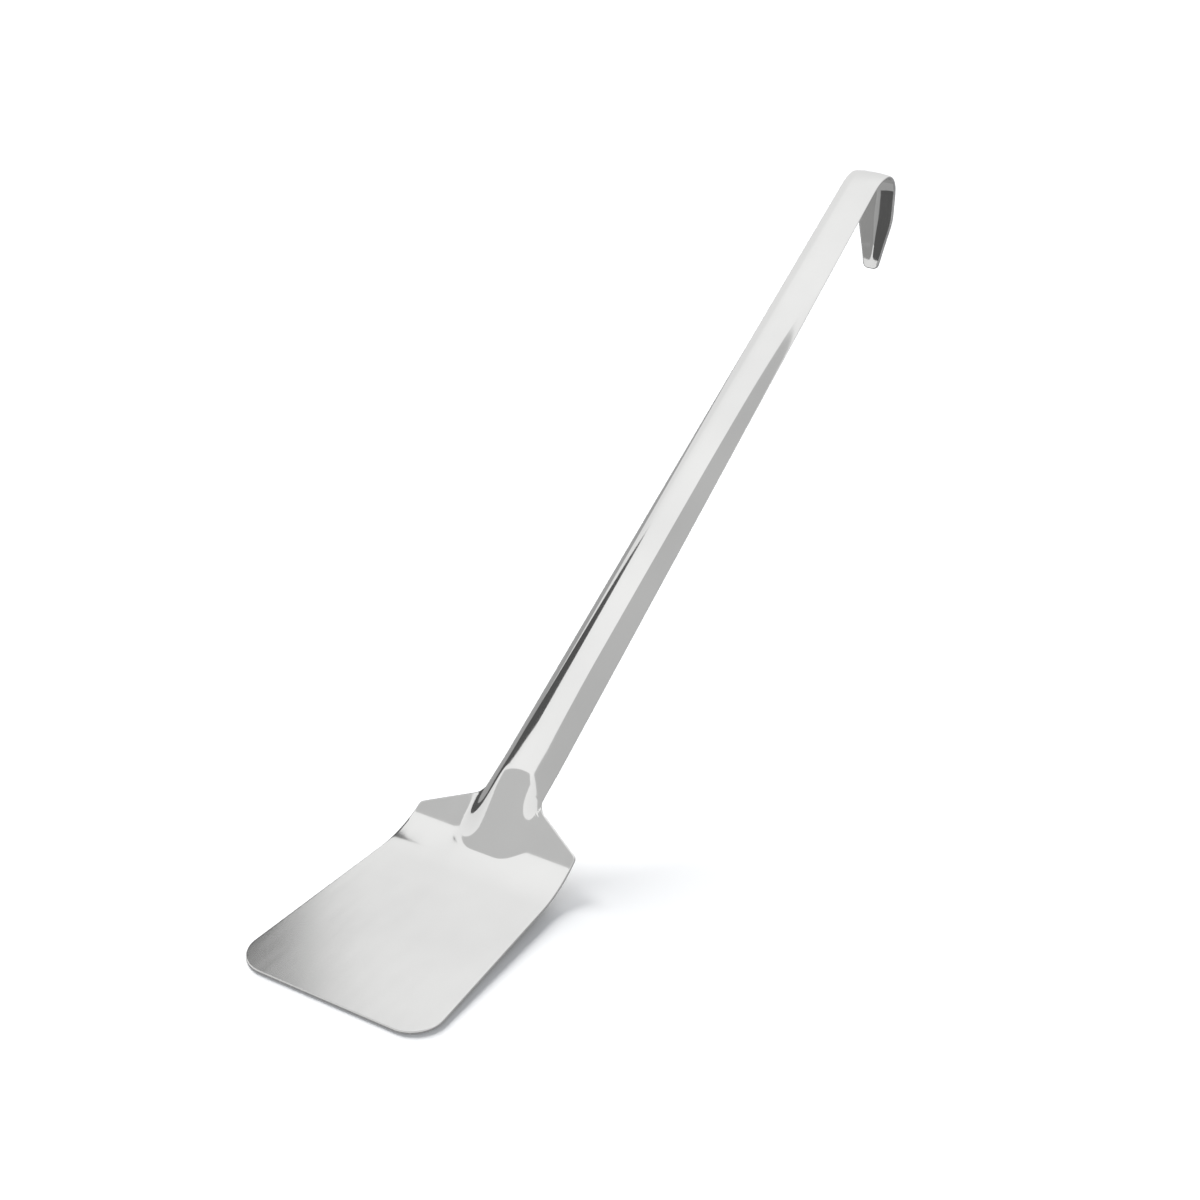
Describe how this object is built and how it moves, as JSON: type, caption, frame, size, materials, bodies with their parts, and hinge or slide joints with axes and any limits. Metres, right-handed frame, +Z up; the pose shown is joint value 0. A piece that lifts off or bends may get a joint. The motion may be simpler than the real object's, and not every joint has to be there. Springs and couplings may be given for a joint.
{
  "type": "grill spatula",
  "caption": "Pressed sheet-steel turner: flat tapering blade, upturned rear with two shoulders, long channel handle and a bent hanging hook.",
  "frame": {"origin": "on the blade's flat underside, in the middle of its flat stretch, 47.5 mm behind the front edge", "axes": "+Y from the blade towards the handle, +X to the right across the blade, +Z up out of the blade's upper face"},
  "size_m": [0.098, 0.49, 0.2062],
  "materials": {
    "steel": "satin on the blade, brighter polish on the shoulders, handle and hook"
  },
  "bodies": {
    "root": {"blade": "steel", "shoulder": "steel", "handle": "steel", "hook": "steel"}
  },
  "joints": []
}
